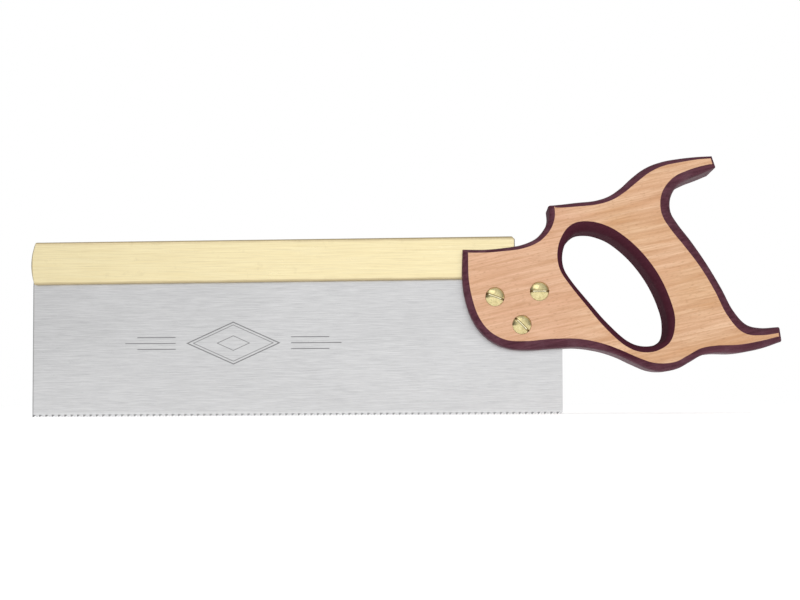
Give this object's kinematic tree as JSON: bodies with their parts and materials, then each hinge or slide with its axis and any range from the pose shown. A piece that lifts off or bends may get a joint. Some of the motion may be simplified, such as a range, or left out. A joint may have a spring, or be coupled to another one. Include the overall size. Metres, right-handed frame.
{
  "type": "back saw",
  "caption": "Tenon saw with a stiff brass back on a toothed steel plate and an open wooden pistol-grip handle fixed by slotted saw nuts.",
  "frame": {"origin": "centre of the bounding box in X and Y, on the line of the tooth points, so the saw stands on its teeth on z = 0", "axes": "+X from the toe of the plate to the handle, +Y through the plate to the cheek with the plain bolt heads, +Z from the teeth up to the brass back"},
  "size_m": [0.4274, 0.0266, 0.1451],
  "materials": {
    "plate_steel": "satin steel, brushed along its length",
    "back_brass": "bright drawn brass, fine lines along its length",
    "handle_beech": "clear-varnished beech faces with dark red-brown stained edges",
    "fastener_brass": "polished turned brass"
  },
  "bodies": {
    "root": {"saw_plate": "plate_steel", "brass_back": "back_brass", "handle": "handle_beech", "front_saw_nut": "fastener_brass", "upper_saw_nut": "fastener_brass", "lower_saw_nut": "fastener_brass", "front_saw_bolt": "fastener_brass", "upper_saw_bolt": "fastener_brass", "lower_saw_bolt": "fastener_brass"}
  },
  "joints": []
}
